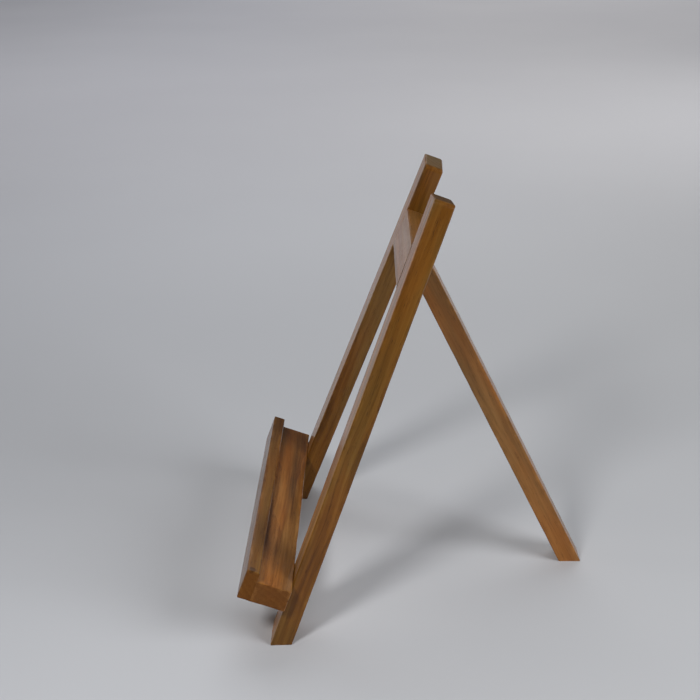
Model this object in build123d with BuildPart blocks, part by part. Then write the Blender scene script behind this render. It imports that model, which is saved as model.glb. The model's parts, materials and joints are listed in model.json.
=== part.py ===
from build123d import *
import os
from math import atan, cos, degrees, radians, sin, tan

# Folding table easel that displays a plaque, in millimetres.
# +Z is up, +X is to the right seen from the front, and +Y points back towards the rear leg.
# The origin lies on the surface the easel stands on, at the middle of its footprint.
# The easel is shown open. Two splayed rails and a crossbar make a frame that leans back, a lipped
# ledge carries the plaque, and a single leg hinged behind the crossbar props the frame up.

# ---------------------------------------------------------------- driving dimensions
RAIL_TILT = 20.2  # lean of the frame back from vertical, degrees
LEG_LEAN = 26.2  # lean of the open leg forward from vertical, degrees

RAIL_WIDTH = 23.0
RAIL_THICK = 12.0
RAIL_RISE = 270.0  # from the floor to the top of a rail's centre line, up the sloping face
RAIL_FOOT_SPACING = 172.4  # between the rail centre lines at the floor
RAIL_TOP_SPACING = 92.4  # between the rail centre lines at the top
TOP_CUT = 2.0  # turn of a rail's sawn top from square towards level with the ledge, degrees

CROSSBAR_WIDTH = 25.6
CROSSBAR_BASE = 212.5  # lower edge, up the sloping face

LEDGE_LENGTH = 202.0
LEDGE_DEPTH = 28.6  # from the rails' fronts to the front of the lip
LEDGE_THICK = 14.2
LEDGE_BASE = 26.8  # underside, up the sloping face
LIP_HEIGHT = 5.8  # above the board
LIP_THICK = 7.8

LEG_WIDTH = 17.0
LEG_THICK = 12.8
LEG_FOOT_REACH = 187.6  # from the foot of the sloping face back to the middle of the leg's foot

HINGE_LENGTH = 16.0
LEAF_REACH = 12.0  # from the pin to the free edge of a leaf
LEAF_THICK = 1.0
LEAF_GAP = 0.3  # between the two leaves when the hinge is shut
LEAF_CORNER = 1.5
PIN_DIAMETER = 1.8
PIN_RUNNING_CLEARANCE = 0.05  # radial, in the leg leaf's knuckle
KNUCKLE_WALL = 1.05
KNUCKLE_GAP = 0.3  # between neighbouring knuckles
KNUCKLE_CLEARANCE = 0.3  # around the barrel, in the wood and in the other leaf
PIN_HEAD_DIAMETER = 2.8
PIN_HEAD_HEIGHT = 0.5

HINGE_SCREW_DIAMETER = 2.0
HINGE_SCREW_HEAD = 3.8
HINGE_SCREW_LENGTH = 7.5
HINGE_SCREW_SPACING = 9.0
HINGE_SCREW_REACH = 7.6  # from the pin up the leaf

LEDGE_SCREW_DIAMETER = 3.5
LEDGE_SCREW_HEAD = 7.0
LEDGE_SCREW_LENGTH = 30.0

DOWEL_DIAMETER = 6.0
DOWEL_LENGTH = 22.0
DOWEL_SPACING = 12.0

BRAD_DIAMETER = 1.2
BRAD_HEAD = 2.0
BRAD_HEAD_HEIGHT = 0.8
BRAD_LENGTH = 18.0
BRAD_SPACING = 60.0

EASE = 0.8  # sanded radius on exposed edges
TOP_CORNER = 1.6  # rounding of the upper rear corner of a rail
SPARE = 20.0  # extra stock that the end cuts take off

# ---------------------------------------------------------------- worked-out dimensions
TILT = radians(RAIL_TILT)
LEAN = radians(LEG_LEAN)
SPREAD = TILT + LEAN  # angle between the frame and the open leg
SPLAY = atan((RAIL_FOOT_SPACING - RAIL_TOP_SPACING) / 2 / RAIL_RISE)

HALF_LEG_FOOT = LEG_THICK / 2 / cos(LEAN)
FRONT_REACH = LEDGE_DEPTH * cos(TILT) - LEDGE_BASE * sin(TILT)
REAR_REACH = LEG_FOOT_REACH + HALF_LEG_FOOT
FACE_Y = (FRONT_REACH - REAR_REACH) / 2  # the sloping face meets the floor here

LEDGE_TOP = LEDGE_BASE + LEDGE_THICK
BOARD_DEPTH = LEDGE_DEPTH - LIP_THICK
LEG_SEAT = RAIL_THICK + 2 * LEAF_THICK + LEAF_GAP  # from the sloping face back to the leg's sawn end
KNUCKLE_RADIUS = PIN_DIAMETER / 2 + KNUCKLE_WALL
KNUCKLE_LENGTH = (HINGE_LENGTH - 2 * KNUCKLE_GAP) / 3
KNUCKLE_RELIEF = KNUCKLE_RADIUS + KNUCKLE_CLEARANCE
PIN_UP = CROSSBAR_BASE - KNUCKLE_RADIUS + 0.15
PIN_OUT = -(RAIL_THICK + LEAF_THICK + LEAF_GAP / 2)

# Planes of the sloping frame: local x is +X, local y runs up the face, local z points out of the front.
FACE = Plane(origin=(0, FACE_Y, 0), x_dir=(1, 0, 0), z_dir=(0, -cos(TILT), sin(TILT)))
PIN_CENTRE = FACE.from_local_coords((0, PIN_UP, PIN_OUT))
UP_THE_FACE = Axis((0, 0, 0), FACE.y_dir)
OUT_OF_FACE = Axis((0, 0, 0), FACE.z_dir)


def on_face(x, up, out=0.0):
    """A point given across the frame, up its sloping face and out of its front."""
    return FACE.from_local_coords((x, up, out))


def facing_back(x, up, out):
    """A plane at a point of the frame whose normal points out of the back."""
    return Plane(origin=on_face(x, up, out), x_dir=(1, 0, 0), z_dir=-FACE.z_dir)


def facing_front(x, up, out):
    """A plane at a point of the frame whose normal points out of the front."""
    return Plane(origin=on_face(x, up, out), x_dir=(1, 0, 0), z_dir=FACE.z_dir)


def rail_centre(up):
    """Distance of a rail's centre line from the middle of the easel."""
    return RAIL_FOOT_SPACING / 2 - up * tan(SPLAY)


def rail_inner(up):
    """Distance of a rail's inner edge from the middle of the easel."""
    return rail_centre(up) - RAIL_WIDTH / 2 / cos(SPLAY)


def countersunk_screw(diameter, head, length, recess):
    """A countersunk wood screw along -Z with its head at z = 0, with or without its cross recess."""
    head_height = (head - diameter) / 2
    point = diameter
    with BuildPart() as screw:
        with BuildSketch(Plane.XZ):
            with BuildLine():
                Polyline(
                    (0, 0),
                    (head / 2, 0),
                    (diameter / 2, -head_height),
                    (diameter / 2, point - length),
                    (0, -length),
                    close=True,
                )
            make_face()
        revolve(axis=Axis.Z)
        if recess:
            with BuildSketch():
                Rectangle(head * 0.6, head * 0.16)
                Rectangle(head * 0.16, head * 0.6)
            extrude(amount=-head_height * 0.6, taper=15, mode=Mode.SUBTRACT)
    return screw.part


def finish(part, name):
    """Label a finished piece and write it out."""
    part.label = name
    export_step(part, f"parts/{name}.step")


os.makedirs("parts", exist_ok=True)

# ---------------------------------------------------------------- fastener shapes and their places
ledge_screw = countersunk_screw(LEDGE_SCREW_DIAMETER, LEDGE_SCREW_HEAD, LEDGE_SCREW_LENGTH, True)
ledge_screw_hole = countersunk_screw(LEDGE_SCREW_DIAMETER, LEDGE_SCREW_HEAD, LEDGE_SCREW_LENGTH, False)
hinge_screw = countersunk_screw(HINGE_SCREW_DIAMETER, HINGE_SCREW_HEAD, HINGE_SCREW_LENGTH, True)
hinge_screw_hole = countersunk_screw(HINGE_SCREW_DIAMETER, HINGE_SCREW_HEAD, HINGE_SCREW_LENGTH, False)

with BuildPart() as brad_shape:
    from_head = (Align.CENTER, Align.CENTER, Align.MAX)
    Cylinder(BRAD_DIAMETER / 2, BRAD_LENGTH, align=from_head)
    Cylinder(BRAD_HEAD / 2, BRAD_HEAD_HEIGHT, align=from_head)
brad = brad_shape.part

SIDES = {"right": 1, "left": -1}
LEDGE_MID = LEDGE_BASE + LEDGE_THICK / 2
CROSSBAR_MID = CROSSBAR_BASE + CROSSBAR_WIDTH / 2
HINGE_SCREW_UP = PIN_UP + HINGE_SCREW_REACH

ledge_screw_places = {
    side: facing_back(sign * rail_centre(LEDGE_MID), LEDGE_MID, -RAIL_THICK)
    for side, sign in SIDES.items()
}
dowel_places = {
    side: [
        on_face(sign * rail_inner(up), up, -RAIL_THICK / 2)
        for up in (CROSSBAR_MID - DOWEL_SPACING / 2, CROSSBAR_MID + DOWEL_SPACING / 2)
    ]
    for side, sign in SIDES.items()
}
frame_screw_places = [
    facing_back(sign * HINGE_SCREW_SPACING / 2, HINGE_SCREW_UP, -RAIL_THICK - LEAF_THICK)
    for sign in SIDES.values()
]
leg_screw_places = [
    facing_front(sign * HINGE_SCREW_SPACING / 2, HINGE_SCREW_UP, LEAF_THICK - LEG_SEAT)
    for sign in SIDES.values()
]
brad_places = [facing_front(step * BRAD_SPACING, LEDGE_MID, LEDGE_DEPTH) for step in (-1, 0, 1)]

# ---------------------------------------------------------------- side rails
# Each rail leans inwards, is sawn level where it stands and nearly square at the top, and is drilled
# for the crossbar's dowels and for the screw that holds the ledge.
STOCK_LENGTH = RAIL_RISE / cos(SPLAY) + 2 * SPARE
TOP_TURN = SPLAY - radians(TOP_CUT)

for side, sign in SIDES.items():
    top_centre = (sign * rail_centre(RAIL_RISE), RAIL_RISE)
    up_from_cut = FACE.y_dir * cos(TOP_TURN) - FACE.x_dir * sign * sin(TOP_TURN)
    with BuildPart() as rail:
        with BuildSketch(FACE):
            with Locations(Location(top_centre, sign * degrees(SPLAY))):
                with Locations((0, SPARE)):
                    Rectangle(RAIL_WIDTH, STOCK_LENGTH, align=(Align.CENTER, Align.MAX))
        extrude(amount=-RAIL_THICK)
        split(bisect_by=Plane.XY, keep=Keep.TOP)
        split(bisect_by=Plane(origin=on_face(*top_centre), z_dir=up_from_cut), keep=Keep.BOTTOM)
        top = rail.faces().sort_by(Axis.Z)[-1]
        fillet(top.edges().sort_by(Axis.Y)[-1], radius=TOP_CORNER)
        foot = rail.faces().sort_by(Axis.Z)[0]
        foot_edges = foot.edges()
        fillet(rail.edges() - foot_edges, radius=EASE)
        with Locations(*dowel_places[side]):
            Cylinder(DOWEL_DIAMETER / 2, DOWEL_LENGTH, rotation=(0, 90, 0), mode=Mode.SUBTRACT)
        with Locations(ledge_screw_places[side].location):
            add(ledge_screw_hole, mode=Mode.SUBTRACT)
    finish(rail.part, f"{side}_rail")

# ---------------------------------------------------------------- crossbar
# It fills the space between the rails, flush with them at the front and the back.
with BuildPart() as crossbar:
    low, high = CROSSBAR_BASE, CROSSBAR_BASE + CROSSBAR_WIDTH
    with BuildSketch(FACE):
        with BuildLine():
            Polyline(
                (-rail_inner(low), low),
                (rail_inner(low), low),
                (rail_inner(high), high),
                (-rail_inner(high), high),
                close=True,
            )
        make_face()
    extrude(amount=-RAIL_THICK)
    fillet(crossbar.edges().filter_by(Axis.X), radius=EASE)
    for side in SIDES:
        with Locations(*dowel_places[side]):
            Cylinder(DOWEL_DIAMETER / 2, DOWEL_LENGTH, rotation=(0, 90, 0), mode=Mode.SUBTRACT)
    with Locations(*[place.location for place in frame_screw_places]):
        add(hinge_screw_hole, mode=Mode.SUBTRACT)
finish(crossbar.part, "crossbar")

# ---------------------------------------------------------------- crossbar dowels
for side in SIDES:
    with BuildPart() as dowels:
        with Locations(*dowel_places[side]):
            Cylinder(DOWEL_DIAMETER / 2, DOWEL_LENGTH, rotation=(0, 90, 0))
    finish(dowels.part, f"{side}_crossbar_dowels")

# ---------------------------------------------------------------- ledge
# The board butts against the front of both rails and is square to them. The edges that meet the lip
# stay sharp.
with BuildPart() as ledge_board:
    with BuildSketch(FACE):
        with Locations((0, LEDGE_MID)):
            Rectangle(LEDGE_LENGTH, LEDGE_THICK)
    extrude(amount=BOARD_DEPTH)
    front = ledge_board.faces().sort_by(OUT_OF_FACE)[-1]
    fillet(ledge_board.edges() - front.edges(), radius=EASE)
    for side in SIDES:
        with Locations(ledge_screw_places[side].location):
            add(ledge_screw_hole, mode=Mode.SUBTRACT)
    with Locations(*[place.location for place in brad_places]):
        add(brad, mode=Mode.SUBTRACT)
finish(ledge_board.part, "ledge_board")

# The lip is a strip along the front of the board. It stands above the board, so that the plaque
# can't slide off.
with BuildPart() as ledge_lip:
    with BuildSketch(FACE.offset(LEDGE_DEPTH)):
        with Locations((0, LEDGE_BASE)):
            Rectangle(LEDGE_LENGTH, LEDGE_THICK + LIP_HEIGHT, align=(Align.CENTER, Align.MIN))
    extrude(amount=-LIP_THICK)
    back = ledge_lip.faces().sort_by(OUT_OF_FACE)[0]
    upper_back = back.edges().sort_by(UP_THE_FACE)[-1]
    fillet(ledge_lip.edges() - back.edges() + [upper_back], radius=EASE)
    with Locations(*[place.location for place in brad_places]):
        add(brad, mode=Mode.SUBTRACT)
finish(ledge_lip.part, "ledge_lip")

# ---------------------------------------------------------------- ledge screws and lip brads
for side in SIDES:
    with BuildPart() as screw:
        with Locations(ledge_screw_places[side].location):
            add(ledge_screw)
    finish(screw.part, f"{side}_ledge_screw")

with BuildPart() as lip_brads:
    with Locations(*[place.location for place in brad_places]):
        add(brad)
finish(lip_brads.part, "lip_brads")


# ---------------------------------------------------------------- rear leg
# One stick, sawn level at the foot. Its upper end is sawn parallel to the frame, so that it bears
# flat on the shut hinge when the easel is open.
def up_the_leg(foot_y):
    """Where a line up the leg from the floor meets the plane of the sawn upper end."""
    run = ((foot_y - FACE_Y) * cos(TILT) - LEG_SEAT) / sin(SPREAD)
    return (foot_y - run * sin(LEAN), run * cos(LEAN))


LEG_REAR_Y = FACE_Y + REAR_REACH
LEG_FRONT_Y = LEG_REAR_Y - 2 * HALF_LEG_FOOT

with BuildPart() as rear_leg:
    with BuildSketch(Plane.YZ):
        with BuildLine():
            Polyline(
                (LEG_FRONT_Y, 0),
                (LEG_REAR_Y, 0),
                up_the_leg(LEG_REAR_Y),
                up_the_leg(LEG_FRONT_Y),
                close=True,
            )
        make_face()
    extrude(amount=LEG_WIDTH / 2, both=True)
    stick_edges = rear_leg.edges().filter_by(Axis((0, 0, 0), (0, -sin(LEAN), cos(LEAN))))
    fillet(stick_edges, radius=EASE)
    with Locations(PIN_CENTRE):
        Cylinder(KNUCKLE_RELIEF, LEG_WIDTH, rotation=(0, 90, 0), mode=Mode.SUBTRACT)
    with Locations(*[place.location for place in leg_screw_places]):
        add(hinge_screw_hole, mode=Mode.SUBTRACT)
finish(rear_leg.part, "rear_leg")

# ---------------------------------------------------------------- hinge
# A small butt hinge that is shut when the easel is open. One leaf lies on the back of the crossbar,
# the other on the leg's sawn end, and the barrel sits just under the crossbar's lower edge.
KNUCKLE_PITCH = KNUCKLE_LENGTH + KNUCKLE_GAP
OUTER_KNUCKLES = [PIN_CENTRE + Vector(sign * KNUCKLE_PITCH, 0, 0) for sign in SIDES.values()]
MIDDLE_KNUCKLE = [PIN_CENTRE]
LEAF_FACE = {"frame": -RAIL_THICK, "leg": -RAIL_THICK - LEAF_THICK - LEAF_GAP}
LEAF_KNUCKLES = {"frame": OUTER_KNUCKLES, "leg": MIDDLE_KNUCKLE}
LEAF_CLEARS = {"frame": MIDDLE_KNUCKLE, "leg": OUTER_KNUCKLES}
LEAF_BORE = {"frame": PIN_DIAMETER / 2, "leg": PIN_DIAMETER / 2 + PIN_RUNNING_CLEARANCE}
LEAF_SCREWS = {"frame": frame_screw_places, "leg": leg_screw_places}

for owner in ("frame", "leg"):
    with BuildPart() as leaf:
        with BuildSketch(FACE.offset(LEAF_FACE[owner])) as plate:
            with Locations((0, PIN_UP)):
                Rectangle(HINGE_LENGTH, LEAF_REACH, align=(Align.CENTER, Align.MIN))
            fillet(plate.vertices().group_by(Axis.Y)[-1], radius=LEAF_CORNER)
        extrude(amount=-LEAF_THICK)
        with Locations(*LEAF_CLEARS[owner]):
            Cylinder(KNUCKLE_RELIEF, KNUCKLE_LENGTH + 2 * KNUCKLE_GAP, rotation=(0, 90, 0), mode=Mode.SUBTRACT)
        with Locations(*LEAF_KNUCKLES[owner]):
            Cylinder(KNUCKLE_RADIUS, KNUCKLE_LENGTH, rotation=(0, 90, 0))
        with Locations(PIN_CENTRE):
            Cylinder(LEAF_BORE[owner], HINGE_LENGTH, rotation=(0, 90, 0), mode=Mode.SUBTRACT)
        with Locations(*[place.location for place in LEAF_SCREWS[owner]]):
            add(hinge_screw_hole, mode=Mode.SUBTRACT)
    finish(leaf.part, f"hinge_{owner}_leaf")

# The pin is peened over at both ends of the barrel.
with BuildPart() as hinge_pin:
    with Locations(PIN_CENTRE):
        Cylinder(PIN_DIAMETER / 2, HINGE_LENGTH, rotation=(0, 90, 0))
    for sign in SIDES.values():
        with Locations(PIN_CENTRE + Vector(sign * (HINGE_LENGTH + PIN_HEAD_HEIGHT) / 2, 0, 0)):
            Cylinder(PIN_HEAD_DIAMETER / 2, PIN_HEAD_HEIGHT, rotation=(0, 90, 0))
finish(hinge_pin.part, "hinge_pin")

for owner in ("frame", "leg"):
    with BuildPart() as hinge_screws:
        with Locations(*[place.location for place in LEAF_SCREWS[owner]]):
            add(hinge_screw)
    finish(hinge_screws.part, f"hinge_{owner}_screws")
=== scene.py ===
"""Folding table easel in varnished brown hardwood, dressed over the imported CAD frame.

Lengths are in metres. Every wooden stick is rebuilt from the flat faces of its CAD node as a finer
mesh: eased corners, faces that aren't quite flat, screw and brad holes. Metal pieces and dowels are
refined copies of their CAD nodes. Each stick carries its own grain coordinates, x along the grain.
"""

import json
import math

import bmesh
import bpy
from mathutils import Matrix, Vector, noise

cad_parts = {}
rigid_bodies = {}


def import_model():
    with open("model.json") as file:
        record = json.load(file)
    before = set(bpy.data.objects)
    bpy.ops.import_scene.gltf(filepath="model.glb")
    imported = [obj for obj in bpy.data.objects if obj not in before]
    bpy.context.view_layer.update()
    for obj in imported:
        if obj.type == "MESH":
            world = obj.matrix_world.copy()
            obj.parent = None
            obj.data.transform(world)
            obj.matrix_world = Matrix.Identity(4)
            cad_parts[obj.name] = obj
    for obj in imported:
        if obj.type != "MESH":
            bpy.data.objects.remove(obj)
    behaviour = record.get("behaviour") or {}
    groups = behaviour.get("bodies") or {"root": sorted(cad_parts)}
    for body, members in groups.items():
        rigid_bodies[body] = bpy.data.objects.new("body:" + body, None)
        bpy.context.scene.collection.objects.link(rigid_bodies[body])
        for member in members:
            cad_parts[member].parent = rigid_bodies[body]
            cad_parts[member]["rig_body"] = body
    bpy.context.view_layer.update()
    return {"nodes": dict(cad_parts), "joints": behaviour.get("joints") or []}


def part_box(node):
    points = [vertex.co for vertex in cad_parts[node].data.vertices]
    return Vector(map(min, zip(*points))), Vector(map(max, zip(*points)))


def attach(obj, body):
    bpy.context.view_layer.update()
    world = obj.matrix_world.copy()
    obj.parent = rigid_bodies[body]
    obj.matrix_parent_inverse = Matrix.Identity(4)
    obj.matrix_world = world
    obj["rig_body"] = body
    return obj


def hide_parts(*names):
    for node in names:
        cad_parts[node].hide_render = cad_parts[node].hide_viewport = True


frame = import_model()
JOINT = frame["joints"][0]

MM = 0.001
TILT = math.radians(20.2)  # lean of the frame back from vertical
UP_FACE = Vector((0, math.sin(TILT), math.cos(TILT)))
OUT_OF_FACE = Vector((0, -math.cos(TILT), math.sin(TILT)))
RIGHT = Vector((1, 0, 0))

STEPS = (3.2 * MM, 2.9 * MM, 2.6 * MM)  # mesh size along, across and through a stick
EASE = 0.8 * MM  # rounding of a stick's edges
HOLLOW = 0.10 * MM  # how far sanding sinks a face
WEAR = 0.22 * MM  # how far handling wears an edge
DENT = 0.45 * MM  # how far a knock sinks an edge
DEEPEST = 0.6 * MM  # no point of a stick is sunk further
SAME_PLACE = 2e-6  # points this close together are one, and points this close to a plane lie on it
SAME_FACING = 0.9997  # least cosine between the normals of two parts of one flat face
SAME_LEVEL = 3e-5  # most that the planes of those parts lie apart
HEAD_FACE = 2e-5  # points this close to a fastener's outermost point are on its head's face
NO_TINT = (1.0, 1.0, 1.0)
LAMP_AIM = (0.0, -0.019, 0.08)  # where the easel's own lamps point


# ---------------------------------------------------------------- reading the CAD sticks
def flat_faces(node, count=6):
    """The largest flat faces of a CAD node: (outward normal, distance from the origin)."""
    groups = []
    faces = sorted(frame["nodes"][node].data.polygons, key=lambda face: -face.area)
    for face in faces:
        distance = face.normal.dot(face.center)
        for group in groups:
            if group[0].dot(face.normal) > SAME_FACING and abs(group[1] - distance) < SAME_LEVEL:
                group[2] += face.area
                break
        else:
            groups.append([face.normal.copy(), distance, face.area])
    groups.sort(key=lambda group: -group[2])
    return [(normal, distance) for normal, distance, _ in groups[:count]]


def read_stick(node, along, out):
    """A stick's six planes by name, and its own axes: along the grain, across it, and out of its face."""
    faces = flat_faces(node)
    face_out = max(faces, key=lambda f: f[0].dot(out))
    sideways = along.cross(out)
    side = max(faces, key=lambda f: abs(f[0].dot(sideways)))
    z = face_out[0]
    y = side[0] * (1 if side[0].dot(sideways) > 0 else -1)
    x = y.cross(z).normalized()
    if x.dot(along) < 0:
        x, y = -x, -y
    y = z.cross(x).normalized()
    planes = {}
    for name, direction in {
        "top": x, "foot": -x, "left": y, "right": -y, "front": z, "back": -z,
    }.items():
        planes[name] = max(faces, key=lambda f: f[0].dot(direction))
    corners = {}
    for end in ("foot", "top"):
        for edge in ("right", "left"):
            for face in ("back", "front"):
                rows = [planes[end], planes[edge], planes[face]]
                normals = Matrix([row[0] for row in rows])
                corners[end, edge, face] = normals.inverted() @ Vector([row[1] for row in rows])
    centre = sum(corners.values(), Vector()) / 8
    return {"planes": planes, "corners": corners, "centre": centre, "axes": (x, y, z)}


def stick_block(stick):
    """The stick's six sided block."""
    bm = bmesh.new()
    v = {key: bm.verts.new(point) for key, point in stick["corners"].items()}
    for end in ("foot", "top"):
        outline = (("right", "back"), ("right", "front"), ("left", "front"), ("left", "back"))
        bm.faces.new([v[end, edge, face] for edge, face in outline])
    for edge in ("right", "left"):
        outline = (("foot", "back"), ("top", "back"), ("top", "front"), ("foot", "front"))
        bm.faces.new([v[end, edge, face] for end, face in outline])
    for face in ("back", "front"):
        outline = (("foot", "right"), ("top", "right"), ("top", "left"), ("foot", "left"))
        bm.faces.new([v[end, edge, face] for end, edge in outline])
    bmesh.ops.recalc_face_normals(bm, faces=bm.faces)
    return bm


def on_plane(stick, name, point):
    normal, distance = stick["planes"][name]
    return abs(normal.dot(point) - distance) < SAME_PLACE


def ease_edges(bm, stick, roundings):
    """Round each edge by the first of the roundings, (radius, wanted), that wants the planes it lies on."""
    widest = max(radius for radius, _ in roundings)
    weight = bm.edges.layers.float.new("bevel_weight_edge")
    for edge in bm.edges:
        names = {n for n in stick["planes"] if all(on_plane(stick, n, v.co) for v in edge.verts)}
        edge[weight] = next((radius / widest for radius, wanted in roundings if wanted(names)), 0.0)
    block = add_object("block", bm)
    bevel = block.modifiers.new("ease", "BEVEL")
    bevel.limit_method = "WEIGHT"
    bevel.width = widest
    bevel.segments = 5
    bevel.use_clamp_overlap = False
    settle(block)
    eased = bmesh.new()
    eased.from_mesh(block.data)
    bpy.data.objects.remove(block)
    return eased


def slice_up(bm, stick):
    """Cut the faces into a grid along the stick's three axes, so that they can be shaped."""
    for axis, step in zip(stick["axes"], STEPS):
        reach = [axis.dot(v.co - stick["centre"]) for v in bm.verts]
        low, high = min(reach), max(reach)
        cuts = max(1, round((high - low) / step))
        for i in range(1, cuts):
            at = stick["centre"] + axis * (low + (high - low) * i / cuts)
            geom = list(bm.verts) + list(bm.edges) + list(bm.faces)
            bmesh.ops.bisect_plane(bm, geom=geom, plane_co=at, plane_no=axis, dist=1e-6)


def edge_distance(stick, point):
    """Distance from a point on the stick to its nearest edge."""
    gaps = sorted(max(0.0, distance - normal.dot(point)) for normal, distance in stick["planes"].values())
    return math.hypot(gaps[0], gaps[1])


def hand_finish(bm, stick, seed, tight):
    """Sanded faces are never flat and edges never even: sink each point a little, never out of the block.

    Faces named in tight butt against another piece, or stand on the floor, and stay flat.
    """
    bm.normal_update()
    moves = []
    shift = Vector((seed * 7.31, seed * 3.77, seed * 5.19))
    for v in bm.verts:
        local = Vector([axis.dot(v.co - stick["centre"]) for axis in stick["axes"]]) / MM
        broad = noise.noise(Vector((local.x * 0.018, local.y * 0.06, local.z * 0.06)) + shift)
        fine = noise.noise(Vector((local.x * 0.09, local.y * 0.22, local.z * 0.22)) + shift * 1.7)
        near = math.exp(-((edge_distance(stick, v.co) / (1.1 * MM)) ** 2))
        uneven = max(0.0, 0.25 + noise.noise(local * 0.11 + shift * 2.3))
        dent = max(0.0, noise.noise(local * 0.075 + shift * 3.1) - 0.52) * 2.2
        depth = HOLLOW * (0.5 + 0.35 * broad + 0.15 * fine) + near * (WEAR * uneven + DENT * dent)
        moves.append((v, v.normal * min(depth, DEEPEST)))
    for v, move in moves:
        if not any(on_plane(stick, name, v.co) for name in tight):
            v.co -= move


def write_attributes(me, stick):
    """Grain coordinates, and how close each point is to an edge."""
    grain, edge = [], []
    for v in me.vertices:
        offset = v.co - stick["centre"]
        grain.extend(axis.dot(offset) for axis in stick["axes"])
        edge.append(math.exp(-((edge_distance(stick, v.co) / (1.5 * MM)) ** 2)))
    me.attributes.new("grain", "FLOAT_VECTOR", "POINT").data.foreach_set("vector", grain)
    me.attributes.new("edge", "FLOAT", "POINT").data.foreach_set("value", edge)


def smooth_shade(ob, angle=32):
    """Smooth shading between sharp edges, weighted so that flat faces stay flat."""
    me = ob.data
    me.shade_smooth()
    me.set_sharp_from_angle(angle=math.radians(angle))
    weigh = ob.modifiers.new("weigh", "WEIGHTED_NORMAL")
    weigh.keep_sharp = True
    weigh.weight = 60
    settle(ob)


def settle(ob):
    """Replace the object's mesh by what its modifiers make of it."""
    dg = bpy.context.evaluated_depsgraph_get()
    me = bpy.data.meshes.new_from_object(ob.evaluated_get(dg), preserve_all_data_layers=True, depsgraph=dg)
    ob.modifiers.clear()
    ob.data = me
    me.name = ob.name


def add_object(name, bm):
    me = bpy.data.meshes.new(name)
    bm.to_mesh(me)
    bm.free()
    ob = bpy.data.objects.new(name, me)
    bpy.context.scene.collection.objects.link(ob)
    return ob


def turned_cutter(profile, at, direction, segments=40):
    """A closed turned shape for cutting holes. The profile lists (radius, depth below the surface)."""
    bm = bmesh.new()
    turned = direction.to_track_quat("Z", "X").to_matrix()
    rings = []
    for radius, depth in profile:
        ring = []
        for i in range(segments):
            angle = 2 * math.pi * i / segments
            point = Vector((radius * math.cos(angle), radius * math.sin(angle), -depth))
            ring.append(bm.verts.new(at + turned @ point))
        rings.append(ring)
    for a, b in zip(rings, rings[1:]):
        for i in range(segments):
            j = (i + 1) % segments
            bm.faces.new([a[i], a[j], b[j], b[i]])
    bm.faces.new(rings[0])
    bm.faces.new(list(reversed(rings[-1])))
    bmesh.ops.recalc_face_normals(bm, faces=bm.faces)
    return add_object("cutter", bm)


def cut_away(ob, cutters):
    """Cut each cutter's shape out of the object, and remove the cutter."""
    for cutter in cutters:
        cut = ob.modifiers.new("cut", "BOOLEAN")
        cut.operation = "DIFFERENCE"
        cut.solver = "EXACT"
        cut.object = cutter
        settle(ob)
        bpy.data.objects.remove(cutter)


def build_stick(node, along, out, material, seed, roundings, tight=(), cutters=()):
    """A finished stick, made from its CAD node. roundings lists (radius, wanted)."""
    stick = read_stick(node, along, out)
    bm = ease_edges(stick_block(stick), stick, roundings)
    slice_up(bm, stick)
    hand_finish(bm, stick, seed, tight)
    ob = add_object(node + "_finished", bm)
    cut_away(ob, cutters)
    write_attributes(ob.data, stick)
    smooth_shade(ob)
    ob.data.materials.clear()
    ob.data.materials.append(material(stick))
    return ob


def stand_for(ob, node):
    """The piece rides on its CAD node's body and is shown instead of the node."""
    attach(ob, frame["nodes"][node]["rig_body"])
    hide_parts(node)
    return ob


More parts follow.
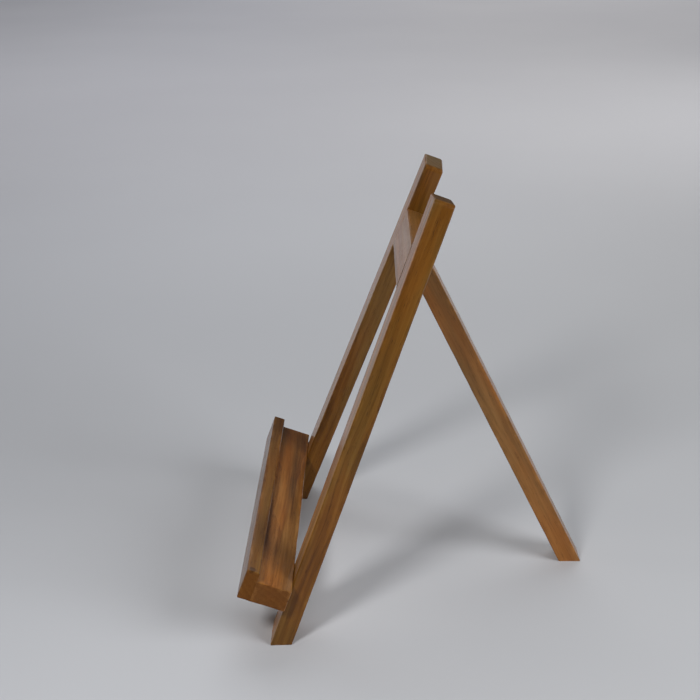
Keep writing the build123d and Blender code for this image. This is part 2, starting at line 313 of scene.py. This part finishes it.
# ---------------------------------------------------------------- material building
class Nodes:
    """A small helper that adds and links shader nodes."""

    def __init__(self, name):
        self.material = bpy.data.materials.new(name)
        self.material.use_nodes = True
        self.tree = self.material.node_tree
        self.tree.nodes.clear()
        self.output = self.tree.nodes.new("ShaderNodeOutputMaterial")

    def add(self, kind, inputs=None, **settings):
        node = self.tree.nodes.new(kind)
        for key, value in settings.items():
            setattr(node, key, value)
        for key, value in (inputs or {}).items():
            if isinstance(value, bpy.types.NodeSocket):
                self.tree.links.new(value, node.inputs[key])
            else:
                node.inputs[key].default_value = value
        return node

    def math(self, operation, a, b=0.0, c=0.0, clamp=False):
        node = self.add("ShaderNodeMath", {0: a, 1: b, 2: c}, operation=operation)
        node.use_clamp = clamp
        return node.outputs[0]

    def vector(self, operation, a, b=(0, 0, 0)):
        return self.add("ShaderNodeVectorMath", {0: a, 1: b}, operation=operation).outputs[0]

    def dot(self, a, b):
        return self.add("ShaderNodeVectorMath", {0: a, 1: b}, operation="DOT_PRODUCT").outputs["Value"]

    def noise(self, vector, scale=1.0, detail=2.0, roughness=0.5, distortion=0.0):
        return self.add(
            "ShaderNodeTexNoise",
            {
                "Vector": vector, "Scale": scale, "Detail": detail, "Roughness": roughness,
                "Distortion": distortion,
            },
        ).outputs["Fac"]

    def spread(self, value, low, high, to_low=0.0, to_high=1.0, smooth=True):
        node = self.add(
            "ShaderNodeMapRange",
            {"Value": value, "From Min": low, "From Max": high, "To Min": to_low, "To Max": to_high},
            interpolation_type="SMOOTHSTEP" if smooth else "LINEAR",
        )
        return node.outputs[0]

    def ramp(self, value, stops):
        node = self.add("ShaderNodeValToRGB", {0: value})
        ramp = node.color_ramp
        while len(ramp.elements) < len(stops):
            ramp.elements.new(0.5)
        for element, (position, colour) in zip(ramp.elements, stops):
            element.position = position
            element.color = (*colour, 1.0)
        return node.outputs["Color"]

    def mix(self, factor, a, b, blend="MIX"):
        node = self.add("ShaderNodeMix", data_type="RGBA", blend_type=blend)
        for socket, value in zip((node.inputs[0], node.inputs[6], node.inputs[7]), (factor, a, b)):
            if isinstance(value, bpy.types.NodeSocket):
                self.tree.links.new(value, socket)
            elif isinstance(value, tuple):
                socket.default_value = (*value, 1.0)
            else:
                socket.default_value = value
        return node.outputs[2]

    def multiply(self, colour, factors):
        """The colour with its red, green and blue each multiplied by a socket or number."""
        factors = self.add("ShaderNodeCombineColor", dict(enumerate(factors))).outputs[0]
        return self.mix(1.0, colour, factors, "MULTIPLY")

    def finish(self, shader):
        self.tree.links.new(shader.outputs[0], self.output.inputs["Surface"])
        return self.material


def varnished_wood(
    name, seed, dark, middle, light, pith, tilt=(0.0, 0.012, 0.02), streak=0.5, figure=0.5,
    end_shades=(0.66, 0.42), end_tone=NO_TINT, painted_shade_slope=0.0, painted_front_sheen=0.0, marks=None,
):
    """Brown hardwood under a thin satin varnish.

    Growth rings are laid round a pith line beside the stick, so they run along its faces and show
    as arcs on its sawn ends. Long streaks, fibres and open pores follow the grain. streak and figure
    say how strong the streaks and rings are. end_shades and end_tone shade and tint the sawn ends.
    painted_shade_slope is how much darker the wood is painted for each 100 mm towards the stick's top,
    a painted shade that evens out the lamps' light along it, and painted_front_sheen how much paler
    its front is painted, a painted sheen. marks paints dark patches: natural marks, and painted shade in
    creases.
    """

    def make(stick):
        n = Nodes(name)
        grain = n.add("ShaderNodeAttribute", attribute_name="grain").outputs["Vector"]
        edge = n.add("ShaderNodeAttribute", attribute_name="edge").outputs["Fac"]
        millimetres = n.vector("MULTIPLY", grain, (1000.0, 1000.0, 1000.0))
        moved = n.vector("ADD", millimetres, (seed * 211.0, seed * 37.0, seed * 53.0))

        # the grain wanders a little across the stick as it runs along it
        wander_at = n.vector("MULTIPLY", moved, (0.011, 0.035, 0.035))
        wander = n.add("ShaderNodeTexNoise", {"Vector": wander_at, "Scale": 1.0, "Detail": 1.5})
        wander = wander.outputs["Color"]
        wander = n.vector("MULTIPLY", n.vector("SUBTRACT", wander, (0.5, 0.5, 0.5)), (0.0, 7.0, 7.0))
        wavy = n.vector("ADD", millimetres, wander)
        wavy_moved = n.vector("ADD", moved, wander)

        turned = n.add(
            "ShaderNodeMapping", {"Vector": wavy, "Location": (0.0, pith[0], pith[1]), "Rotation": tilt},
            vector_type="POINT",
        ).outputs[0]
        rings = n.add(
            "ShaderNodeTexWave",
            {"Vector": turned, "Scale": 0.085, "Distortion": 2.2, "Detail": 2.0, "Detail Scale": 0.35,
             "Detail Roughness": 0.55, "Phase Offset": seed * 1.3},
            wave_type="RINGS", rings_direction="X", wave_profile="SAW",
        ).outputs["Fac"]
        streaks = n.noise(n.vector("MULTIPLY", wavy_moved, (0.009, 0.17, 0.17)), 1.0, 3.0, 0.55)
        bands = n.noise(n.vector("MULTIPLY", wavy_moved, (0.018, 0.62, 0.62)), 1.0, 3.0, 0.6)
        fibres = n.noise(n.vector("MULTIPLY", wavy_moved, (0.05, 3.1, 3.1)), 1.0, 2.0, 0.6)
        patches = n.noise(n.vector("MULTIPLY", moved, (0.022, 0.05, 0.05)), 1.0, 2.0, 0.5)
        pores_at = n.vector("MULTIPLY", wavy_moved, (0.16, 4.2, 4.2))
        pores = n.spread(n.noise(pores_at, 1.0, 1.0, 0.4), 0.635, 0.70)
        pore_share = n.math("MULTIPLY", pores, n.spread(rings, 0.2, 0.9, 0.35, 1.0))

        tone = n.math("MULTIPLY_ADD", n.spread(streaks, 0.28, 0.72), streak, 0.5 - streak * 0.5)
        tone = n.math("MULTIPLY_ADD", n.spread(bands, 0.25, 0.75, -0.5, 0.5), 0.34, tone)
        tone = n.math("MULTIPLY_ADD", n.math("SUBTRACT", 0.55, rings), figure * 0.42, tone)
        tone = n.math("MULTIPLY_ADD", n.math("SUBTRACT", fibres, 0.5), 0.32, tone)
        tone = n.math("MULTIPLY_ADD", n.math("SUBTRACT", patches, 0.5), 0.28, tone, clamp=True)
        colour = n.ramp(tone, [(0.0, dark), (0.5, middle), (1.0, light)])
        # painted shade: the colour is scaled steadily along the stick, darker towards its top for a positive
        # slope, to even out the lamps' light along it
        along = n.add("ShaderNodeSeparateXYZ", {0: grain}).outputs["X"]
        level = n.math("MULTIPLY_ADD", along, -10.0 * painted_shade_slope, 1.0)
        colour = n.multiply(colour, [level] * 3)

        # warm and dull areas alternate along the stick
        warmth = n.noise(n.vector("MULTIPLY", moved, (0.014, 0.09, 0.09)), 1.0, 2.0, 0.5)
        warm = n.mix(1.0, colour, (1.12, 0.97, 0.80), "MULTIPLY")
        dull = n.mix(1.0, colour, (0.90, 0.98, 1.10), "MULTIPLY")
        colour = n.mix(n.spread(warmth, 0.32, 0.68), dull, warm)
        colour = n.mix(n.math("MULTIPLY", pore_share, 0.62), colour, tuple(c * 0.35 for c in dark))

        # painted sheen: faces turned towards the stick's front are painted paler
        facing = n.add("ShaderNodeTexCoord").outputs["Normal"]
        front = n.spread(n.dot(facing, tuple(stick["axes"][2])), 0.55, 0.95, 1.0, 1.0 + painted_front_sheen)
        colour = n.multiply(colour, [front] * 3)

        # sawn ends drink the varnish, so they are duller, with their own shade and open pores
        ends = n.spread(n.math("ABSOLUTE", n.dot(facing, tuple(stick["axes"][0]))), 0.84, 0.98)
        end_rings = n.spread(rings, 0.1, 1.0, *end_shades)
        end_pores = n.noise(n.vector("MULTIPLY", millimetres, (0.3, 2.6, 2.6)), 1.0, 1.0)
        end_shade = n.math("MULTIPLY", end_rings, n.spread(end_pores, 0.56, 0.68, 1.0, 0.62))
        end_shade = [n.math("MULTIPLY", end_shade, share) for share in end_tone]
        colour = n.mix(ends, colour, n.multiply(n.mix(0.8, colour, middle), end_shade))

        # the edges are painted paler in places, partly handling wear and partly a painted highlight along
        # them; handling leaves dirt in others
        wear_and_highlight_at = n.noise(n.vector("MULTIPLY", moved, (0.10, 0.25, 0.25)), 1.0, 3.0, 0.6)
        worn_and_highlit = n.math("MULTIPLY", edge, n.spread(wear_and_highlight_at, 0.48, 0.66))
        grubby = n.math("MULTIPLY", edge, n.spread(wear_and_highlight_at, 0.46, 0.32))
        colour = n.mix(n.math("MULTIPLY", worn_and_highlit, 0.30), colour, tuple(min(1.0, c * 1.5) for c in light))
        colour = n.mix(n.math("MULTIPLY", grubby, 0.35), colour, tuple(c * 0.6 for c in dark))
        if marks:
            colour = marks(n, millimetres, colour, dark)

        polish = n.noise(n.vector("MULTIPLY", moved, (0.03, 0.12, 0.12)), 1.0, 3.0, 0.55)
        roughness = n.math("MULTIPLY_ADD", n.spread(polish, 0.3, 0.7), 0.14, 0.36)
        roughness = n.math("MULTIPLY_ADD", pore_share, 0.16, roughness)
        roughness = n.math("MULTIPLY_ADD", ends, 0.20, roughness)
        roughness = n.math("MULTIPLY_ADD", worn_and_highlit, -0.07, roughness)

        height = n.math("MULTIPLY_ADD", fibres, 0.30, n.math("MULTIPLY", rings, 0.16))
        height = n.math("MULTIPLY_ADD", pore_share, -1.0, height)
        brush = n.noise(n.vector("MULTIPLY", moved, (0.09, 0.75, 0.75)), 1.0, 2.0, 0.5)
        height = n.math("MULTIPLY_ADD", brush, 0.45, height)
        bump = n.add("ShaderNodeBump", {"Strength": 0.35, "Distance": 0.00012, "Height": height}).outputs[0]
        film = n.add("ShaderNodeBump", {"Strength": 0.18, "Distance": 0.00012, "Height": height}).outputs[0]

        varnish = n.math("MULTIPLY_ADD", ends, -0.6, 0.64)
        shader = n.add(
            "ShaderNodeBsdfPrincipled",
            {
                "Base Color": colour, "Roughness": roughness, "Normal": bump,
                "IOR": 1.35, "Specular IOR Level": 0.25,
                "Coat Weight": varnish, "Coat Roughness": 0.18, "Coat IOR": 1.36, "Coat Normal": film,
            },
        )
        return n.finish(shader)

    return make


def metal(name, base, tarnish, roughness, brushed=0.4, spots=0.3, axis=(1.0, 1.0, 1.0)):
    """Metal with fine drawing marks, fingerprints of tarnish and a little dirt."""
    n = Nodes(name)
    place = n.add("ShaderNodeTexCoord").outputs["Object"]
    millimetres = n.vector("MULTIPLY", place, (1000.0, 1000.0, 1000.0))
    lines = n.noise(n.vector("MULTIPLY", millimetres, tuple(a * 5.0 for a in axis)), 1.0, 2.0, 0.6)
    cloud = n.noise(n.vector("MULTIPLY", millimetres, (0.45, 0.45, 0.45)), 1.0, 4.0, 0.6)
    speck = n.spread(n.noise(n.vector("MULTIPLY", millimetres, (2.4, 2.4, 2.4)), 1.0, 2.0, 0.5), 0.58, 0.70)
    drawn = n.math("MULTIPLY", lines, 0.2)
    dulled = n.math("MULTIPLY_ADD", n.spread(cloud, 0.38, 0.66), 0.8, drawn, clamp=True)
    colour = n.mix(dulled, base, tarnish)
    colour = n.mix(n.math("MULTIPLY", speck, spots), colour, tuple(c * 0.35 for c in tarnish))
    rough = n.math("MULTIPLY_ADD", dulled, 0.22, roughness)
    rough = n.math("MULTIPLY_ADD", speck, 0.18, rough)
    height = n.math("MULTIPLY_ADD", lines, brushed, n.math("MULTIPLY", speck, -0.5))
    bump = n.add("ShaderNodeBump", {"Strength": 0.25, "Distance": 0.00003, "Height": height}).outputs[0]
    shader = n.add(
        "ShaderNodeBsdfPrincipled",
        {"Base Color": colour, "Metallic": 1.0, "Roughness": rough, "Normal": bump},
    )
    return n.finish(shader)


# ---------------------------------------------------------------- wooden pieces
def is_long(names):
    """An edge that runs along the stick."""
    return not names & {"top", "foot"}


def is_foot(names):
    return "foot" in names


RAIL_LOOKS = {
    "left": {
        "seed": 2, "corner": 2.2 * MM, "pith": (-30.0, 26.0), "painted_shade_slope": 0.05,
        # the left rail's sawn top is painted paler and greyer than the right rail's: a painted sheen where
        # the top is seen at a glancing angle
        "end_shades": (1.15, 0.95), "end_tone": (0.88, 1.28, 4.2),
    },
    "right": {
        "seed": 1, "corner": 0.8 * MM, "pith": (34.0, 21.0), "painted_shade_slope": 0.12,
        "end_shades": (0.62, 0.45), "end_tone": (1.0, 1.0, 0.8),
    },
}
SAWN_TOP_ROUNDING = 3.0 * MM
RAIL_EASE = 1.0 * MM
FOOT_EASE = 0.35 * MM


def make_rails():
    """The two splayed rails, with a rounded upper rear corner and a countersunk hole each."""
    for side, look in RAIL_LOOKS.items():
        node = side + "_rail"
        low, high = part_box(node)
        inwards = -1 if side == "right" else 1
        top_x = low.x if side == "right" else high.x
        foot_x = high.x if side == "right" else low.x
        lean = (abs(foot_x) - abs(top_x)) / (high.z - low.z) * 0.6
        along = (UP_FACE + RIGHT * inwards * lean).normalized()
        material = varnished_wood(
            node + "_wood", look["seed"], dark=(0.077, 0.030, 0.004), middle=(0.152, 0.063, 0.008),
            light=(0.220, 0.102, 0.018), pith=look["pith"], streak=0.50, figure=0.45,
            end_shades=look["end_shades"], end_tone=look["end_tone"], painted_shade_slope=look["painted_shade_slope"], painted_front_sheen=0.85,
        )
        rail = build_stick(
            node, along, OUT_OF_FACE, material, look["seed"],
            [
                (look["corner"], lambda names: {"top", "back"} <= names),
                (SAWN_TOP_ROUNDING, lambda names: "top" in names and bool(names & {"left", "right"})),
                (FOOT_EASE, is_foot),
                (RAIL_EASE, lambda names: True),
            ],
            tight=("foot",), cutters=[screw_hole(side + "_ledge_screw", -OUT_OF_FACE)],
        )
        stand_for(rail, node)


def screw_hole(node, direction):
    """A countersunk hole for a screw whose head is flush with the wood."""
    rim = head_points(node, direction)
    radius = max((p - q).length for p in rim for q in rim) / 2
    far = max(rim, key=lambda p: (p - rim[0]).length)
    opposite = max(rim, key=lambda p: (p - far).length)
    at = (far + opposite) / 2
    gap, rise, depth = 0.16 * MM, 0.4 * MM, 6 * MM
    profile = [
        (radius + gap + rise, -rise),
        (radius * 0.5 + gap, radius * 0.5),
        (radius * 0.5 + gap, radius * 0.5 + depth),
    ]
    return turned_cutter(profile, at, direction)


def head_points(node, direction):
    """The points of a fastener node that lie on the faces of its heads."""
    points = [v.co for v in frame["nodes"][node].data.vertices]
    reach = max(direction.dot(p) for p in points)
    return [p for p in points if direction.dot(p) > reach - HEAD_FACE]


def make_crossbar():
    """The bar between the rails, flush with their fronts."""
    material = varnished_wood(
        "crossbar_wood", 5, dark=(0.110, 0.044, 0.009), middle=(0.205, 0.090, 0.021),
        light=(0.290, 0.140, 0.040), pith=(-45.0, 18.0), streak=0.45, figure=0.4, painted_front_sheen=0.25,
    )
    bar = build_stick(
        "crossbar", RIGHT, OUT_OF_FACE, material, 5,
        [(EASE, is_long)], tight=("top", "foot"),
    )
    stand_for(bar, "crossbar")


def dark_mark_and_painted_shade(at, size, strength):
    """A dark patch painted at a place of the stick, fading at its rim. It serves for natural marks in the
    wood and for painted shade laid along creases.
    """

    def paint(n, millimetres, colour, dark):
        offset = n.vector("MULTIPLY", n.vector("SUBTRACT", millimetres, at), tuple(1.0 / s for s in size))
        ragged = n.noise(n.vector("MULTIPLY", millimetres, (0.5, 0.9, 0.9)), 1.0, 3.0, 0.6)
        gap = n.add("ShaderNodeVectorMath", {0: offset}, operation="LENGTH").outputs["Value"]
        gap = n.math("MULTIPLY_ADD", n.math("SUBTRACT", ragged, 0.5), 0.9, gap)
        return n.mix(n.spread(gap, 1.15, 0.45, 0.0, strength), colour, tuple(c * 0.7 for c in dark))

    return paint


def make_ledge():
    """The board that carries the plaque and the strip along its front."""
    board_wood = varnished_wood(
        "ledge_board_wood", 3, dark=(0.088, 0.031, 0.006), middle=(0.216, 0.084, 0.017),
        light=(0.332, 0.150, 0.038), pith=(12.0, 42.0), tilt=(0.0, 0.02, 0.035), streak=0.62, figure=0.5,
        end_shades=(0.82, 0.78), end_tone=(1.03, 0.96, 0.95), painted_shade_slope=-0.14,
        # painted shade: the long dark patch on the board's top along the lip's inner foot is shade painted
        # into the crease between board and lip
        marks=dark_mark_and_painted_shade((32.0, -9.4, 7.1), (34.0, 2.2, 3.0), 0.80),
    )
    board = build_stick(
        "ledge_board", RIGHT, UP_FACE, board_wood, 3,
        [(EASE, lambda names: "right" not in names)], tight=("right",),
    )
    stand_for(board, "ledge_board")

    low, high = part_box("ledge_lip")
    half = (high.x - low.x) / 2 / MM
    lip_wood = varnished_wood(
        "ledge_lip_wood", 4, dark=(0.082, 0.028, 0.004), middle=(0.154, 0.058, 0.008),
        light=(0.240, 0.107, 0.022), pith=(26.0, 30.0), streak=0.5, figure=0.5,
        end_shades=(1.14, 1.08), end_tone=(1.03, 0.96, 0.95), painted_shade_slope=-0.05,
        marks=dark_mark_and_painted_shade((half - 2.0, -0.8, 9.6), (2.6, 2.4, 2.8), 0.90),
    )
    lip = build_stick(
        "ledge_lip", RIGHT, UP_FACE, lip_wood, 4,
        [(EASE, lambda names: "left" not in names or "front" in names)], tight=("left",),
        cutters=[brad_hole(at) for at in brad_centres()],
    )
    stand_for(lip, "ledge_lip")


def brad_centres():
    """Where the brads' heads are: the middles of the three clusters of head points."""
    heads = sorted(head_points("lip_brads", OUT_OF_FACE), key=lambda p: p.x)
    clusters = [[heads[0]]]
    for p in heads[1:]:
        if p.x - clusters[-1][-1].x > 10 * MM:
            clusters.append([])
        clusters[-1].append(p)
    return [(min(c, key=lambda p: p.x) + max(c, key=lambda p: p.x)) / 2 for c in clusters]


def brad_hole(at):
    """The small dimple that a brad's head sits in."""
    profile = [(1.35 * MM, -0.3 * MM), (1.12 * MM, 0.15 * MM), (1.08 * MM, 1.2 * MM)]
    return turned_cutter(profile, at, OUT_OF_FACE, segments=28)


def make_leg():
    """The single rear leg, sawn level at its foot and relieved round the hinge's barrel at its top."""
    pin = Vector(JOINT["pos_m"])
    normals = [normal for normal, _ in flat_faces("rear_leg")]
    rear = next(n for n in normals if abs(n.x) < 0.1 and n.z > 0.2 and n.y > 0.5)
    along = Vector((0, -rear.z, rear.y))
    material = varnished_wood(
        "rear_leg_wood", 6, dark=(0.150, 0.058, 0.011), middle=(0.266, 0.114, 0.027),
        light=(0.350, 0.164, 0.044), pith=(22.0, -40.0), streak=0.25, figure=0.25, painted_shade_slope=0.05,
    )
    relief, reach = 2.25 * MM, 20 * MM
    barrel = turned_cutter([(relief, -reach), (relief, reach)], pin, RIGHT, segments=48)
    leg = build_stick(
        "rear_leg", along, rear, material, 6,
        [(EASE, is_long), (0.3 * MM, lambda names: True)],
        tight=("foot",), cutters=[barrel],
    )
    stand_for(leg, "rear_leg")


def make_dowels():
    """Beech dowels, hidden in the joints between crossbar and rails."""
    n = Nodes("dowel_beech")
    place = n.add("ShaderNodeTexCoord").outputs["Object"]
    millimetres = n.vector("MULTIPLY", place, (1000.0, 1000.0, 1000.0))
    flecks = n.noise(n.vector("MULTIPLY", millimetres, (0.25, 2.2, 2.2)), 1.0, 3.0, 0.6)
    colour = n.ramp(flecks, [(0.3, (0.48, 0.33, 0.18)), (0.7, (0.68, 0.51, 0.32))])
    bump = n.add("ShaderNodeBump", {"Strength": 0.3, "Distance": 0.0001, "Height": flecks}).outputs[0]
    shader = n.add("ShaderNodeBsdfPrincipled", {"Base Color": colour, "Roughness": 0.6, "Normal": bump})
    beech = n.finish(shader)
    for node in ("left_crossbar_dowels", "right_crossbar_dowels"):
        dowels = refined_copy(node, 0.3 * MM)
        dowels.data.materials.append(beech)
        stand_for(dowels, node)


# ---------------------------------------------------------------- metal pieces
def refined_copy(node, width):
    """A copy of a CAD node with clean faces and its sharp edges broken."""
    bm = bmesh.new()
    bm.from_mesh(frame["nodes"][node].data)
    bmesh.ops.remove_doubles(bm, verts=bm.verts, dist=SAME_PLACE)
    bmesh.ops.dissolve_limit(bm, angle_limit=math.radians(1.0), verts=bm.verts, edges=bm.edges)
    ob = add_object(node + "_finished", bm)
    ob.data.materials.clear()
    bevel = ob.modifiers.new("ease", "BEVEL")
    bevel.width = width
    bevel.segments = 2
    bevel.limit_method = "ANGLE"
    bevel.angle_limit = math.radians(35)
    settle(ob)
    smooth_shade(ob, 40)
    return ob


def make_hinge():
    """Pressed brass leaves on a steel pin, and their screws."""
    brass = metal("hinge_brass", (0.78, 0.58, 0.27), (0.42, 0.28, 0.12), 0.30, 0.5, 0.35, (0.12, 1.0, 1.0))
    steel = metal("hinge_pin_steel", (0.62, 0.61, 0.59), (0.33, 0.31, 0.29), 0.28, 0.4, 0.3, (0.1, 1.0, 1.0))
    turned = metal("screw_brass", (0.80, 0.61, 0.30), (0.45, 0.31, 0.14), 0.26, 0.4, 0.4)
    for node, width, material, slot in (
        ("hinge_frame_leaf", 0.12 * MM, brass, "hinge_brass"),
        ("hinge_leg_leaf", 0.12 * MM, brass, "hinge_brass"),
        ("hinge_pin", 0.12 * MM, steel, "hinge_steel"),
        ("hinge_frame_screws", 0.06 * MM, turned, "screw_brass"),
        ("hinge_leg_screws", 0.06 * MM, turned, "screw_brass"),
    ):
        piece = refined_copy(node, width)
        piece.data.materials.append(material)
        stand_for(piece, node)


def make_fixings():
    """Zinc plated screws through the rails and darkened brads through the lip."""
    zinc = metal("zinc_plate", (0.66, 0.65, 0.60), (0.36, 0.34, 0.30), 0.30, 0.3, 0.45)
    dark = metal("brad_steel", (0.20, 0.16, 0.13), (0.07, 0.05, 0.04), 0.42, 0.3, 0.5)
    for node, width, material, slot in (
        ("left_ledge_screw", 0.08 * MM, zinc, "zinc_steel"),
        ("right_ledge_screw", 0.08 * MM, zinc, "zinc_steel"),
        ("lip_brads", 0.12 * MM, dark, "dark_steel"),
    ):
        piece = refined_copy(node, width)
        piece.data.materials.append(material)
        stand_for(piece, node)


# ---------------------------------------------------------------- floor, lights and camera
def make_floor():
    """A large sheet of pale grey paper, painted a little cooler in front of the easel than behind it, a
    painted cool light.
    """
    bm = bmesh.new()
    bmesh.ops.create_grid(bm, x_segments=60, y_segments=60, size=9.0)
    floor = add_object("floor", bm)
    n = Nodes("floor_paper")
    place = n.add("ShaderNodeTexCoord").outputs["Object"]
    cloud = n.noise(place, 1.6, 3.0, 0.5)
    tooth = n.noise(place, 900.0, 2.0, 0.6)
    colour = n.ramp(cloud, [(0.3, (0.602, 0.612, 0.632)), (0.7, (0.628, 0.638, 0.656))])
    # painted light: the paper is tinted cooler towards the easel's front, a painted cool light
    across = n.add("ShaderNodeSeparateXYZ", {0: place}).outputs["Y"]
    painted_cool_light = n.mix(1.0, colour, (0.985, 0.998, 1.035), "MULTIPLY")
    colour = n.mix(n.spread(across, -0.7, 0.5), painted_cool_light, colour)
    bump = n.add("ShaderNodeBump", {"Strength": 0.08, "Distance": 0.0002, "Height": tooth}).outputs[0]
    shader = n.add(
        "ShaderNodeBsdfPrincipled",
        {"Base Color": colour, "Roughness": 0.72, "Normal": bump, "Specular IOR Level": 0.3},
    )
    floor.data.materials.append(n.finish(shader))
    floor.data.shade_smooth()


def softbox(name, towards, distance, size, power, colour, aim=LAMP_AIM):
    """A round area light. towards is the way to it from its aim, as azimuth from +X and elevation."""
    azimuth, elevation = (math.radians(angle) for angle in towards)
    level = math.cos(elevation)
    back = Vector((math.cos(azimuth) * level, math.sin(azimuth) * level, math.sin(elevation)))
    data = bpy.data.lights.new(name, "AREA")
    data.shape = "DISK"
    data.size = size
    data.energy = power
    data.color = colour
    lamp = bpy.data.objects.new(name, data)
    lamp.location = Vector(aim) + back * distance
    lamp.rotation_mode = "QUATERNION"
    lamp.rotation_quaternion = back.to_track_quat("Z", "Y")
    bpy.context.scene.collection.objects.link(lamp)
    return lamp


def make_lights():
    """Soft lamps round the easel, a weak low one before its front, and high ones for the paper beyond.

    The paper's lamps turn their backs to the easel, so they cast no shadow of it.
    """
    softbox("key", (-31, 42.5), 0.75, 0.16, 2.2, (1.0, 0.99, 0.98))
    softbox("rear_right", (61, 28), 1.14, 0.68, 7.3, (0.99, 0.99, 1.0))
    softbox("far_side", (186, 53), 1.15, 1.05, 4.5, (0.98, 0.99, 1.0))
    softbox("front_fill", (-98, 9), 2.60, 0.80, 8.5, (1.0, 0.92, 0.84))
    softbox("paper_far", (0, 30), 8.80, 1.2, 183.0, (1.0, 0.975, 0.99), aim=(-11.12, 0.9, 0.0))
    softbox("paper_left", (0, 30), 4.00, 1.0, 25.5, (1.0, 0.975, 0.99), aim=(-4.66, -0.8, 0.0))
    softbox("paper_right", (0, 38), 1.95, 0.8, 12.0, (1.0, 0.98, 0.985), aim=(-2.74, 0.88, 0.0))
    world = bpy.data.worlds.new("studio")
    world.use_nodes = True
    background = world.node_tree.nodes["Background"]
    background.inputs["Color"].default_value = (0.93, 0.95, 1.0, 1.0)
    background.inputs["Strength"].default_value = 0.03
    bpy.context.scene.world = world


def make_camera():
    """The photographer's place: level with the right side of the easel, looking down at it."""
    data = bpy.data.cameras.new("camera")
    data.sensor_width = 36.0
    data.lens = 58.3
    data.clip_start = 0.01
    data.clip_end = 60.0
    camera = bpy.data.objects.new("camera", data)
    yaw, pitch, roll = math.radians(-1.2), math.radians(21.87), math.radians(-0.73)
    forward = Vector((-math.cos(yaw) * math.cos(pitch), math.sin(yaw) * math.cos(pitch), -math.sin(pitch)))
    right = Vector((math.sin(yaw), math.cos(yaw), 0.0))
    up = right.cross(forward)
    x = right * math.cos(roll) + up * math.sin(roll)
    y = -right * math.sin(roll) + up * math.cos(roll)
    turn = Matrix((x, y, -forward)).transposed()
    camera.matrix_world = Matrix.Translation((0.6432, -0.0286, 0.4036)) @ turn.to_4x4()
    bpy.context.scene.collection.objects.link(camera)
    bpy.context.scene.camera = camera


def make_view():
    """Plain colours, with no film look."""
    view = bpy.context.scene.view_settings
    view.view_transform = "Standard"
    view.look = "None"


make_rails()
make_crossbar()
make_ledge()
make_leg()
make_dowels()
make_hinge()
make_fixings()
make_floor()
make_lights()
make_camera()
make_view()
